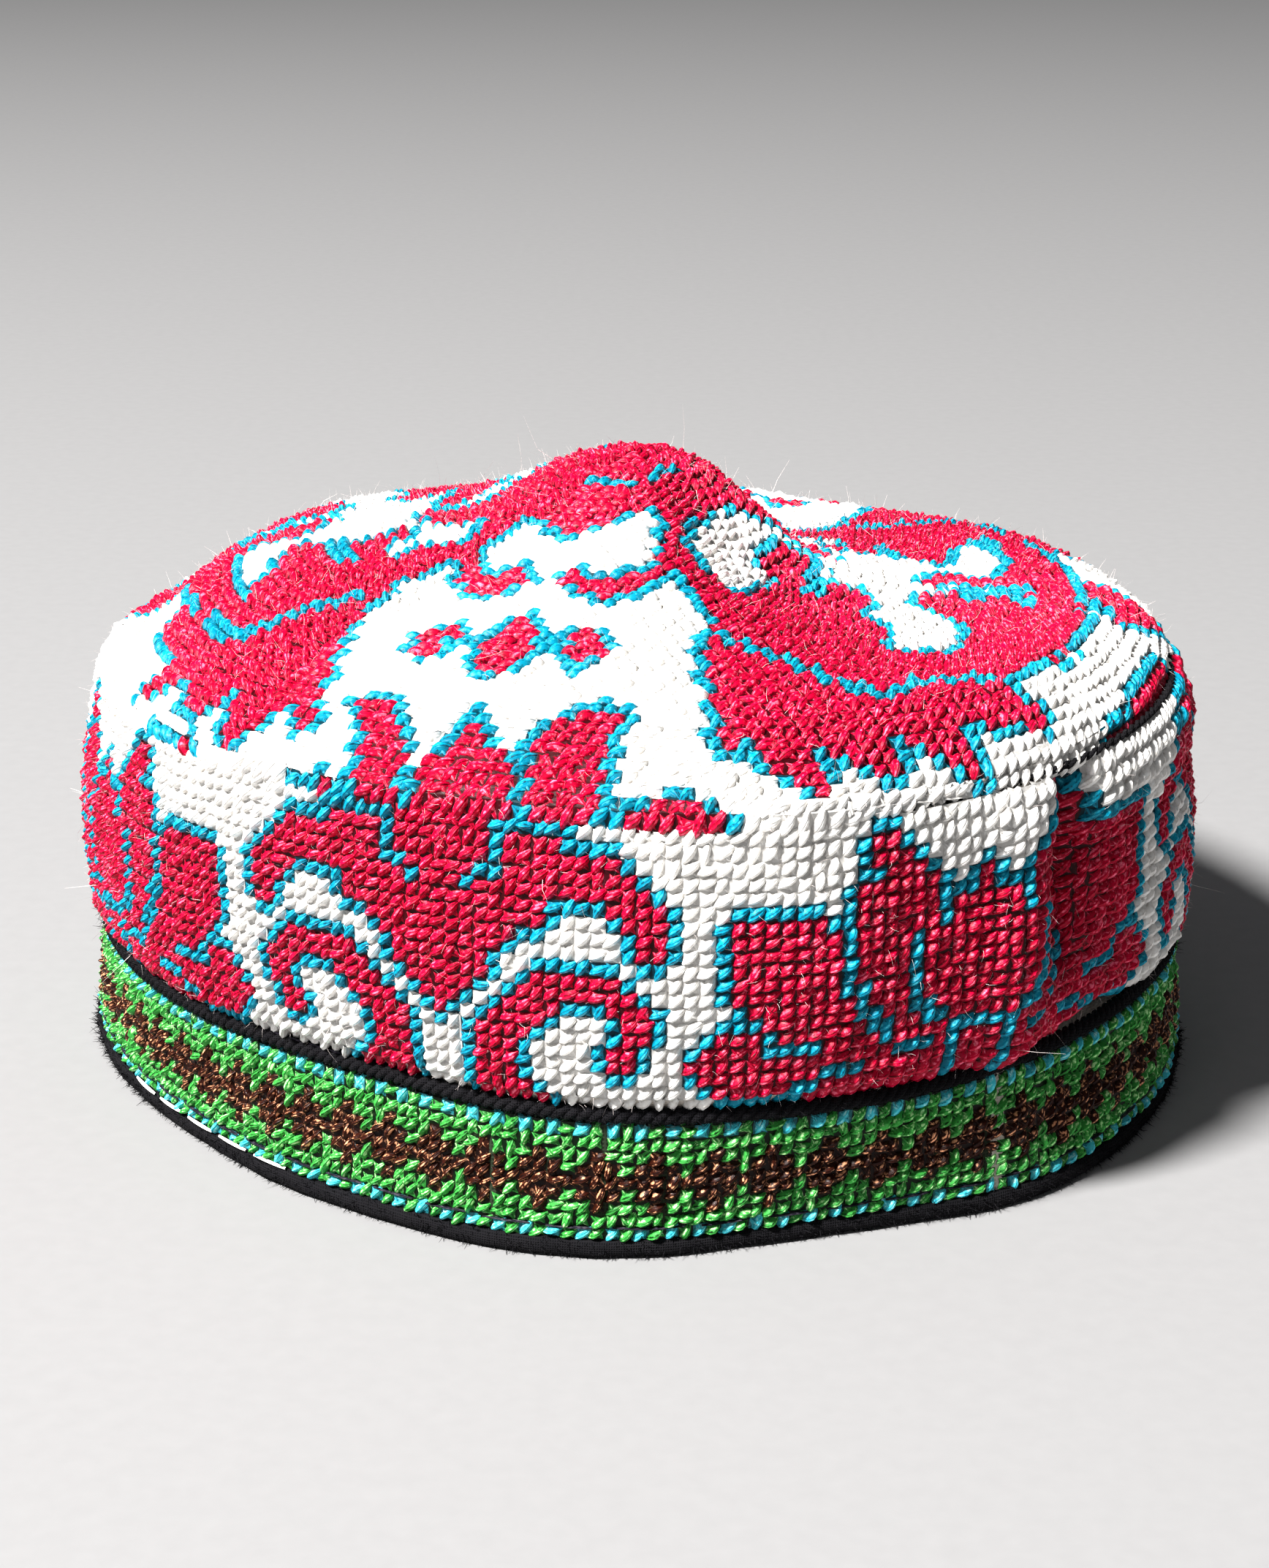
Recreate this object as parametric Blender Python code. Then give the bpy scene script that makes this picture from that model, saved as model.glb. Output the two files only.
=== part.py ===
"""A tubeteika: a soft stitched crown on an oval side wall, with a band, a braid and a bound rim.

The cap stands on its rim. The origin is under the middle of the cap, +Z is up, and the front faces -Y.
Lengths are in metres. An azimuth is in degrees from the front, growing towards +X.
"""
import math

import bmesh
import bpy
import numpy as np

# Ovals that the cloth follows: across from left to right, and deep from front to back
RIM_WIDTH = 0.182
RIM_DEPTH = 0.194
BRAID_WIDTH = 0.178
BRAID_DEPTH = 0.196
SEAM_WIDTH = 0.171
SEAM_DEPTH = 0.1945

# Heights above the floor
BRAID_HEIGHT = 0.0222
SEAM_HEIGHT = 0.0644
PEAK_HEIGHT = 0.0962

# Thickness of each cloth, and the clearance left between two pieces
CROWN_CLOTH = 0.0022
WALL_CLOTH = 0.0022
BAND_CLOTH = 0.0012
BINDING_CLOTH = 0.0010
GAP = 0.0003

BRAID_SIZE = 0.0027
BINDING_HEIGHT = 0.0037
BINDING_ROUND = 0.0007
LEDGE_RISE = 0.0007
WALL_BULGE = 0.0023
FOLD_DEPTH = 0.0028

# How the soft cloth leaves each oval, as a share of the oval's radius
OUTLINE_COLUMNS = ("azimuth", "rim", "braid", "seam")
OUTLINE_SHARES = [
    (-157, 0.970, 0.955, 0.940),
    (-128, 0.970, 0.960, 0.940),
    (-110, 0.990, 0.980, 0.960),
    (-90, 1.000, 1.000, 1.000),
    (-52, 0.940, 0.955, 0.995),
    (-36, 0.950, 0.930, 0.975),
    (-23, 0.965, 0.935, 0.970),
    (-11, 0.995, 0.975, 0.970),
    (0, 1.000, 1.000, 0.993),
    (11, 0.972, 1.003, 1.030),
    (23, 0.978, 1.007, 1.037),
    (36, 1.028, 1.005, 1.045),
    (52, 1.026, 1.008, 1.030),
    (70, 1.010, 1.015, 1.015),
    (90, 1.000, 1.000, 1.000),
    (110, 0.990, 0.980, 0.955),
    (128, 0.980, 0.965, 0.940),
    (157, 0.970, 0.955, 0.940),
    (180, 0.970, 0.955, 0.945),
]

# Levels of the crown from the seam to the peak: the station along its curve, and the reach from the
# middle as a share of the seam's radius
LEVEL_COLUMNS = ("level", "station", "reach")
LEVEL_SHARES = [
    ("seam", 0.00, 1.000),
    ("roll", 0.06, 1.000),
    ("edge", 0.14, 0.965),
    ("shoulder", 0.28, 0.860),
    ("lobe", 0.50, 0.620),
    ("slope", 0.75, 0.330),
    ("tip", 0.92, 0.120),
    ("peak", 1.00, 0.000),
]
CROWN_RING_SHARES = (0.0, 0.03, 0.06, 0.10, 0.14, 0.21, 0.28, 0.39, 0.50, 0.625, 0.75, 0.835, 0.92)

# Height of each level above the seam, as a share of the crown's full rise. The puff is how far the
# roll stands out over the seam, as a share of the seam's radius.
CROWN_COLUMNS = ("azimuth", "puff", "roll", "edge", "shoulder", "lobe", "slope", "tip")
CROWN_SHARES = [
    (4, 0.003, 0.060, 0.15, 0.35, 0.53, 0.76, 0.93),
    (41, 0.018, 0.070, 0.17, 0.31, 0.35, 0.48, 0.93),
    (97, 0.010, 0.050, 0.13, 0.28, 0.30, 0.50, 0.93),
    (148, 0.004, 0.040, 0.10, 0.20, 0.33, 0.42, 0.93),
    (184, 0.004, 0.050, 0.12, 0.26, 0.40, 0.62, 0.93),
    (221, 0.004, 0.045, 0.11, 0.27, 0.44, 0.70, 0.93),
    (277, 0.003, 0.040, 0.10, 0.28, 0.55, 0.68, 0.93),
    (328, 0.003, 0.055, 0.14, 0.33, 0.50, 0.68, 0.93),
]

# Upright folds of the wall: half width in degrees, depth as a share of FOLD_DEPTH (a ridge is below
# zero), and where each starts and ends as shares of the height from the braid to the seam
FOLD_COLUMNS = ("azimuth", "half_width", "depth", "low", "high")
FOLD_SHARES = [
    (24, 7, 0.45, 0.15, 1.00),
    (33, 5, -0.50, 0.00, 0.85),
    (41, 6, 0.80, 0.10, 1.00),
    (-43, 10, 0.35, 0.10, 0.90),
    (126, 12, 0.60, 0.05, 0.95),
    (-144, 14, 0.50, 0.05, 0.95),
]

WALL_OUTER_SHARES = (0.14, 0.30, 0.46, 0.62, 0.78, 0.91, 1.0)
WALL_INNER_SHARES = (1.0, 0.80, 0.55, 0.30)

BAND_RINGS = 4
SEGMENTS = 72
BRAID_SIDES = 8
AZIMUTHS = (np.arange(SEGMENTS) + 0.5) * 360.0 / SEGMENTS

CLOTH_ROUGHNESS = 0.85
WHITE = (0.86, 0.83, 0.77, 1.0)
CRIMSON = (0.55, 0.01, 0.05, 1.0)
GREEN = (0.10, 0.40, 0.08, 1.0)
BLACK = (0.012, 0.010, 0.012, 1.0)


def column(table, names, name):
    """One named column of a table."""
    return [row[names.index(name)] for row in table]


def slope_at(stations, values, index):
    """Slope of a smooth curve at one of its stations, from the stations beside it."""
    low = max(index - 1, 0)
    high = min(index + 1, len(stations) - 1)
    return (values[high] - values[low]) / (stations[high] - stations[low])


def through(stations, values, at):
    """Smooth curve through the values at the stations, read at one place."""
    left = int(np.clip(np.searchsorted(stations, at, side="right") - 1, 0, len(stations) - 2))
    span = stations[left + 1] - stations[left]
    share = (at - stations[left]) / span
    rise_left = slope_at(stations, values, left) * span
    rise_right = slope_at(stations, values, left + 1) * span
    return (
        (2 * share**3 - 3 * share**2 + 1) * values[left]
        + (share**3 - 2 * share**2 + share) * rise_left
        + (3 * share**2 - 2 * share**3) * values[left + 1]
        + (share**3 - share**2) * rise_right
    )


def around(table, names, name):
    """A table's column read at every azimuth, as a smooth curve that closes on itself."""
    stations = np.array(column(table, names, "azimuth"), float) % 360.0
    order = np.argsort(stations)
    stations = stations[order]
    values = np.array(column(table, names, name), float)[order]
    stations = np.concatenate((stations[-2:] - 360.0, stations, stations[:2] + 360.0))
    values = np.concatenate((values[-2:], values, values[:2]))
    return np.array([through(stations, values, azimuth) for azimuth in AZIMUTHS])


def oval(width, depth):
    """Radius of an oval at every azimuth."""
    angles = np.radians(AZIMUTHS)
    return 1.0 / np.hypot(np.sin(angles) * 2.0 / width, np.cos(angles) * 2.0 / depth)


def rim_line():
    return oval(RIM_WIDTH, RIM_DEPTH) * around(OUTLINE_SHARES, OUTLINE_COLUMNS, "rim")


def braid_line():
    return oval(BRAID_WIDTH, BRAID_DEPTH) * around(OUTLINE_SHARES, OUTLINE_COLUMNS, "braid")


def seam_line():
    return oval(SEAM_WIDTH, SEAM_DEPTH) * around(OUTLINE_SHARES, OUTLINE_COLUMNS, "seam")


def fold_depth(rise):
    """How far the folds take the wall in, at a share of the height from the braid to the seam."""
    depth = np.zeros(SEGMENTS)
    for row in FOLD_SHARES:
        fold = dict(zip(FOLD_COLUMNS, row))
        across = (AZIMUTHS - fold["azimuth"] + 180.0) % 360.0 - 180.0
        dip = np.cos(np.clip(across / fold["half_width"], -1.0, 1.0) * math.pi / 2.0) ** 2
        along = min(max((rise - fold["low"]) / (fold["high"] - fold["low"]), 0.0), 1.0)
        depth += fold["depth"] * FOLD_DEPTH * dip * math.sin(math.pi * along)
    return depth


def lower_face(height):
    """Radius of the cap's outside at a height between the floor and the braid."""
    rim = rim_line()
    return rim + (braid_line() - rim) * height / BRAID_HEIGHT


def upper_height(rise):
    return BRAID_HEIGHT + (SEAM_HEIGHT - BRAID_HEIGHT) * rise


def upper_face(rise):
    """Radius of the wall's outside at a share of the height from the braid to the seam."""
    braid = braid_line()
    bulge = WALL_BULGE * math.sin(math.pi * rise)
    return braid + (seam_line() - braid) * rise + bulge - fold_depth(rise)


def crown_ring(station):
    """Radius and height of the crown's outside at one station from the seam, 0, to the peak, 1."""
    names = column(LEVEL_SHARES, LEVEL_COLUMNS, "level")
    stations = column(LEVEL_SHARES, LEVEL_COLUMNS, "station")
    reaches = [np.full(SEGMENTS, reach) for reach in column(LEVEL_SHARES, LEVEL_COLUMNS, "reach")]
    reaches[names.index("roll")] += around(CROWN_SHARES, CROWN_COLUMNS, "puff")
    rises = [np.zeros(SEGMENTS)]
    rises += [around(CROWN_SHARES, CROWN_COLUMNS, name) for name in names[1:-1]]
    rises += [np.ones(SEGMENTS)]
    foot = SEAM_HEIGHT + GAP
    radius = through(stations, reaches, station) * seam_line()
    height = foot + (PEAK_HEIGHT - foot) * through(stations, rises, station)
    return radius, height


def add_ring(mesh, radius, height):
    """Add one vertex at every azimuth."""
    angles = np.radians(AZIMUTHS)
    heights = np.broadcast_to(height, AZIMUTHS.shape)
    return [
        mesh.verts.new((r * math.sin(a), -r * math.cos(a), z))
        for r, a, z in zip(radius, angles, heights)
    ]


def join_rings(mesh, first, second):
    """Add the strip of faces between two rings."""
    for index in range(SEGMENTS):
        following = (index + 1) % SEGMENTS
        mesh.faces.new((first[index], first[following], second[following], second[index]))


def material(name, colour):
    made = bpy.data.materials.new(name)
    made.use_nodes = True
    shader = made.node_tree.nodes["Principled BSDF"]
    shader.inputs["Base Color"].default_value = colour
    shader.inputs["Roughness"].default_value = CLOTH_ROUGHNESS
    shader.inputs["Metallic"].default_value = 0.0
    return made


def finish_object(name, mesh, colour):
    """Turn a bmesh into a smooth-shaded object with its own material."""
    bmesh.ops.recalc_face_normals(mesh, faces=mesh.faces)
    data = bpy.data.meshes.new(name)
    mesh.to_mesh(data)
    mesh.free()
    data.shade_smooth()
    data.set_sharp_from_angle(angle=math.radians(40))
    data.materials.append(material(name, colour))
    made = bpy.data.objects.new(name, data)
    bpy.context.scene.collection.objects.link(made)
    return made


def ring_solid(name, section, colour):
    """A closed solid whose section is a loop of rings, each a radius and a height."""
    mesh = bmesh.new()
    rings = [add_ring(mesh, radius, height) for radius, height in section]
    for index, ring in enumerate(rings):
        join_rings(mesh, ring, rings[(index + 1) % len(rings)])
    return finish_object(name, mesh, colour)


def make_crown():
    """The soft top: one smooth sheet from the seam to the peak, given its cloth's thickness."""
    mesh = bmesh.new()
    rings = [add_ring(mesh, *crown_ring(station)) for station in CROWN_RING_SHARES]
    for low, high in zip(rings, rings[1:]):
        join_rings(mesh, low, high)
    peak = mesh.verts.new((0.0, 0.0, PEAK_HEIGHT))
    top = rings[-1]
    for index in range(SEGMENTS):
        mesh.faces.new((top[index], top[(index + 1) % SEGMENTS], peak))
    crown = finish_object("crown", mesh, WHITE)
    cloth = crown.modifiers.new("cloth", "SOLIDIFY")
    cloth.thickness = CROWN_CLOTH
    cloth.offset = -1.0
    cloth.use_even_offset = True
    return crown


def band_inset():
    """How far the band's face lies behind the binding's face."""
    return BINDING_CLOTH + GAP


def wall_tuck():
    """How far the foot of the wall is set in, behind the band."""
    return band_inset() + BAND_CLOTH + GAP


def band_heights():
    """Heights of the band's rings, which the wall behind it shares so that their faces stay apart."""
    low = BINDING_CLOTH + GAP
    high = BRAID_HEIGHT - BRAID_SIZE / 2.0 - GAP
    return tuple(np.linspace(low, high, BAND_RINGS))


def lower_rings(inset, heights):
    """Rings of a face that lies behind the cap's outside, at the given heights."""
    return [(lower_face(height) - inset, height) for height in heights]


def make_side_wall():
    """The oval wall: its foot is tucked behind the band, and its top carries the crown."""
    ledge = BRAID_HEIGHT + BRAID_SIZE / 2.0 + GAP
    inner_tuck = wall_tuck() + WALL_CLOTH
    section = lower_rings(wall_tuck(), band_heights() + (BRAID_HEIGHT,))
    section += [
        (upper_face(0.0) - wall_tuck(), ledge),
        (upper_face(0.0), ledge + LEDGE_RISE),
    ]
    for rise in WALL_OUTER_SHARES:
        section.append((upper_face(rise), upper_height(rise)))
    for rise in WALL_INNER_SHARES:
        section.append((upper_face(rise) - WALL_CLOTH, upper_height(rise)))
    section += [
        (upper_face(0.0) - WALL_CLOTH, ledge + LEDGE_RISE + WALL_CLOTH),
        (upper_face(0.0) - inner_tuck, ledge),
    ]
    section += lower_rings(inner_tuck, band_heights()[:1])
    return ring_solid("side_wall", section, CRIMSON)


def make_green_band():
    """The flat strip round the foot of the wall, from the binding up to the braid."""
    section = lower_rings(band_inset(), band_heights())
    section += lower_rings(band_inset() + BAND_CLOTH, reversed(band_heights()))
    return ring_solid("green_band", section, GREEN)


def make_black_braid():
    """The round cord that lies on the band's top edge, against the wall."""
    middle = upper_face(0.0) - wall_tuck() + GAP + BRAID_SIZE / 2.0
    section = []
    for side in range(BRAID_SIDES):
        angle = 2.0 * math.pi * (side + 0.5) / BRAID_SIDES
        out = math.cos(angle) * BRAID_SIZE / 2.0
        up = math.sin(angle) * BRAID_SIZE / 2.0
        section.append((middle + out, BRAID_HEIGHT + up))
    return ring_solid("black_braid", section, BLACK)


def make_rim_binding():
    """The folded strip that holds the feet of the band and the wall and rests on the floor."""
    top = BINDING_HEIGHT
    across = wall_tuck() + WALL_CLOTH + GAP + BINDING_CLOTH
    section = [
        (lower_face(0.0) - BINDING_ROUND, 0.0),
        (lower_face(BINDING_ROUND), BINDING_ROUND),
        (lower_face(top), top),
        (lower_face(top) - BINDING_CLOTH, top),
        (lower_face(BINDING_CLOTH) - BINDING_CLOTH, BINDING_CLOTH),
        (lower_face(BINDING_CLOTH) - across + BINDING_CLOTH, BINDING_CLOTH),
        (lower_face(top) - across + BINDING_CLOTH, top),
        (lower_face(top) - across, top),
        (lower_face(BINDING_ROUND) - across, BINDING_ROUND),
        (lower_face(0.0) - across + BINDING_ROUND, 0.0),
    ]
    return ring_solid("rim_binding", section, BLACK)


def centre_over_origin(pieces):
    """Move every piece so that the origin lies under the middle of the whole cap."""
    points = np.array([vertex.co for piece in pieces for vertex in piece.data.vertices])
    middle = (points.min(axis=0) + points.max(axis=0)) / 2.0
    for piece in pieces:
        piece.location = (-middle[0], -middle[1], 0.0)


def main():
    for old in list(bpy.data.objects):
        bpy.data.objects.remove(old, do_unlink=True)
    pieces = [
        make_crown(),
        make_side_wall(),
        make_green_band(),
        make_black_braid(),
        make_rim_binding(),
    ]
    centre_over_origin(pieces)


main()
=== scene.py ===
"""The looks of a hand-stitched tubeteika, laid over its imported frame.

The cap stands on its rim, with its front towards -Y. Lengths are in metres unless a name says otherwise.
An azimuth is in degrees from the front, growing towards +X, about the upright line through CENTRE.
The crown, the wall and the band are covered with cross stitches, each a patch of ground with a lower and
an upper leg of thread over it.
"""

import math

import bpy
import numpy as np
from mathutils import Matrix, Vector
from mathutils.bvhtree import BVHTree


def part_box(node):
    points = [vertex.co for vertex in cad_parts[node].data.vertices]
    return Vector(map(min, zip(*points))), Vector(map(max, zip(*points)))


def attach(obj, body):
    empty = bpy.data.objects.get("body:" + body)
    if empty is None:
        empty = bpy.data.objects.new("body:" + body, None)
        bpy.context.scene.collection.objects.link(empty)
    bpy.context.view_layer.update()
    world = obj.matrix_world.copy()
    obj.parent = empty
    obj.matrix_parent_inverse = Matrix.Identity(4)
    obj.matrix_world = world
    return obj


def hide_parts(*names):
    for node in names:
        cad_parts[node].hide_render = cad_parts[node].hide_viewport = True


CENTRE = np.array((0.0, 0.0025))
SEED = 7

# The photograph's camera
PHOTO_HEIGHT_PX = 2145
CAMERA_PITCH = 18.0
CAMERA_DISTANCE = 0.5372
CAMERA_AIM_HEIGHT = 0.0395
CAMERA_FOCAL_PX = 4415.0
SENSOR_MM = 36.0

# Lamps: place, size, watts and colour
LAMPS = {
    "key_light": ((-1.46, -1.34, 2.56), 0.56, 420.0, (1.0, 0.98, 0.95)),
    "front_light": ((-0.60, -1.2, 0.40), 0.5, 1.2, (1.0, 1.0, 1.0)),
}
LAMP_AIM = (0.0, 0.0, 0.04)
SURROUND_COLOUR = (0.95, 0.97, 1.0, 1.0)
SURROUND_STRENGTH = 0.17
FLOOR_SHADES = ((0.22, 0.22, 0.225, 1.0), (0.24, 0.24, 0.245, 1.0))

STITCH = 0.0021
WALL_ROWS = 20
CROWN_RINGS = 48
RING_SHIFT = 0.37
BAND_COLUMNS = 288
BAND_OVERLAP = 0.0003
WALL_OVERLAP = 0.0002
EDGE_OVERLAP = 0.45
RIM_HEIGHT = 0.0029
RIM_HALF_WIDTH = 0.0025
RIM_LOOK_HEIGHT = 0.0015
CLOTH_SINK = 0.0002
CLOTH_THICKNESS = 0.0021

# Looking for the surface of a solid: height of the eye inside, start of a ray, and least radius of a hit
LOOK_INSIDE = 0.040
REACH = 0.30
LEAST_RADIUS = 0.03
CROWN_RAYS = 330
CROWN_LOWEST_TILT = 8.0
CROWN_STEPS = 193
CROWN_CLOTH_SKIP = 4
WALL_CLOTH_STEPS = 25

# Legs of a cross stitch: points along and across, width, length, height and sinking of the ends, in cells
UPPER_LEG = {"along": 5, "across": 5, "reach": 1.02, "rise": 0.54, "sink": 0.18}
LOWER_LEG = {"along": 3, "across": 3, "width": 0.46, "reach": 1.00, "rise": 0.36, "sink": 0.18}
# The lower legs are painted darker by this factor, as shade under the upper legs
LOWER_SHADE = 0.78
LOWER_UNEVENNESS = 0.05
# Stitches of the crown between these azimuths, and those opposite, lean the other way
LEANING = (90.0, 140.0)

# Teal lines of a chart: how near a stitch has to be, in stitches, on the wall and on the crown
LINE_REACH_WALL = 0.55
LINE_REACH_PEAK = 0.50
LINE_REACH_OUTER = 0.82
PEAK_ZONE_MM = 50.0

# The padded edge at the right front: its middle azimuth, its reach to either side, its size, and the
# shares of the wall's and the crown's height where its parts start and end
PAD_MIDDLE = 58.0
PAD_REACH = 42.0
PAD_ROLL = 0.0024
PAD_LIFT = 0.0014
PAD_PLUMP = 0.0015
PAD_TUCK = 0.0052
ROLL_FROM = 0.76
LIFT_FROM = 0.86
PLUMP_SPAN = (0.72, 0.97)
TUCK_FROM = 0.93
SEAM_LIFT = 0.0004
# Relief of the wall there: azimuth, reach to either side, and height
WALL_RIDGE = (34.0, 5.0, 0.0019)
WALL_PINCH = (40.5, 4.4, -0.0064)
WALL_FLAT = (48.0, 12.0, -0.0016)
UPPER_SPAN = (0.25, 0.85)
# A dark cord as painted shade in the seam: its middle azimuth, reach to either side, how far out and up it
# comes
SEAM_SHADOW_CORD = (56.0, 38.0)
SEAM_SHADOW_CORD_OUT = 0.0025
SEAM_SHADOW_CORD_HIDDEN = 0.0018
SEAM_SHADOW_CORD_UP = 0.0021
# Soft dents and swellings of the crown: azimuth, reach to either side, start and end from peak (0) to
# seam (1), and height
CROWN_DENTS = [
    (-86.0, 40.0, 0.78, 1.02, -0.0030),
    (-120.0, 45.0, 0.45, 0.90, 0.0020),
    (112.0, 42.0, 0.55, 1.00, 0.0024),
    (-100.0, 50.0, 0.10, 0.48, -0.0013),
    (100.0, 50.0, 0.15, 0.55, -0.0014),
]

# Sectors of the wall: the motif, the azimuth where it starts, and its number of stitches
WALL_SECTORS = [
    ("tulip", -91.3, 41),
    ("heart", -38.3, 33),
    ("folded tulip", 3.8, 41),
    ("heart", 56.5, 33),
    ("tulip", 98.0, 41),
    ("heart", 145.0, 33),
    ("tulip", 181.0, 41),
    ("heart", 230.5, 33),
]

# Motifs of the wall, drawn as half outlines: stitches from the motif's middle, and rows from the braid
HEART_RED = [
    [(0, 21), (4.5, 21), (4.5, 18.7), (8.9, 18.7), (9.2, 17.9), (12.2, 17.9), (12.5, 16.9), (13.4, 16.6),
     (13.7, 15.7), (14.5, 15.5), (15.2, 14.2), (15.3, 12.0), (14.9, 11.3), (13.8, 11.4), (13.8, 12.5),
     (12.8, 13.0), (11.8, 14.5), (7.8, 14.6), (7.2, 13.6), (6.6, 13.2), (5.7, 12.2), (4.8, 11.3),
     (3.9, 10.4), (2.9, 9.3), (1.9, 8.3), (1.2, 7.5), (0.7, 6.4), (0, 6.4)],
    [(7.7, 10.1), (11.8, 10.1), (12.7, 9.2), (13.5, 8.2), (14.6, 7.2), (14.8, 5.1), (13.8, 4.5),
     (13.7, 2.9), (11.5, 2.8), (11.6, 4.5), (12.7, 5.0), (12.7, 6.3), (11.8, 7.1), (11.4, 8.1),
     (8.5, 8.0), (7.7, 7.0), (7.0, 6.1), (6.0, 5.2), (5.5, 4.8), (5.5, 1.9), (7.5, 1.2), (7.5, -1),
     (2.5, -1), (2.5, 5.2), (3.2, 6.1), (4.2, 7.0), (5.4, 8.1), (6.5, 9.1)],
]
HEART_TEAL = [
    [(4, 21), (4, 17.0)],
    [(2.9, 16.3), (1.9, 15.5)],
    [(4, 19.3), (9, 19.3)],
]
TULIP_RED = [
    [(0, 15.9), (0.9, 14.6), (2.1, 13.4), (3.3, 12.4), (4.0, 16.0), (4.9, 16.8), (5.9, 17.9), (6.5, 19.1),
     (8.8, 19.1), (8.8, 17.7), (7.8, 17.4), (7.8, 15.9), (9.4, 15.9), (9.4, 8.7), (10.4, 8.7),
     (10.4, 12.0), (11.0, 12.7), (11.9, 13.3), (12.3, 14.4), (18.3, 14.4), (17.4, 13.4), (17.4, 8.0),
     (16.6, 7.8), (15.9, 7.1), (15.4, 6.2), (18.6, 5.8), (19.5, 4.8), (20.7, 3.8), (19.8, 2.6),
     (19.0, 1.6), (18.2, 0.9), (13.6, 0.9), (13.6, -1), (0, -1)],
]
TULIP_TEAL = [
    [(3.3, 14.8), (3.3, 12.5)],
    [(9.8, 15.7), (9.8, 8.8)],
    [(14.9, 5.2), (14.2, 4.3), (11.9, 4.3)],
    [(11.2, 2.8), (8.9, 2.8)],
    [(12.2, 1.6), (13.2, 0.6)],
    [(8.7, 8.2), (8.7, 6.8), (7.9, 5.9), (7.1, 5.0)],
    [(6.4, 3.8), (4.1, 3.8)],
    [(5.0, 11.6), (5.0, 6.8)],
    [(3.9, 6.2), (3.0, 5.2)],
    [(2.2, -1), (2.2, 4.1), (0, 4.1)],
]

# The red that the fold at the right front brings together, right of that tulip's middle
FOLD_RED = [
    [(7.5, 8), (7.5, 16.5), (7.9, 20.5), (9.6, 20.5), (10.2, 16.3), (13.5, 15.6), (17.5, 16.4), (17.5, 8)],
]

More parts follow.
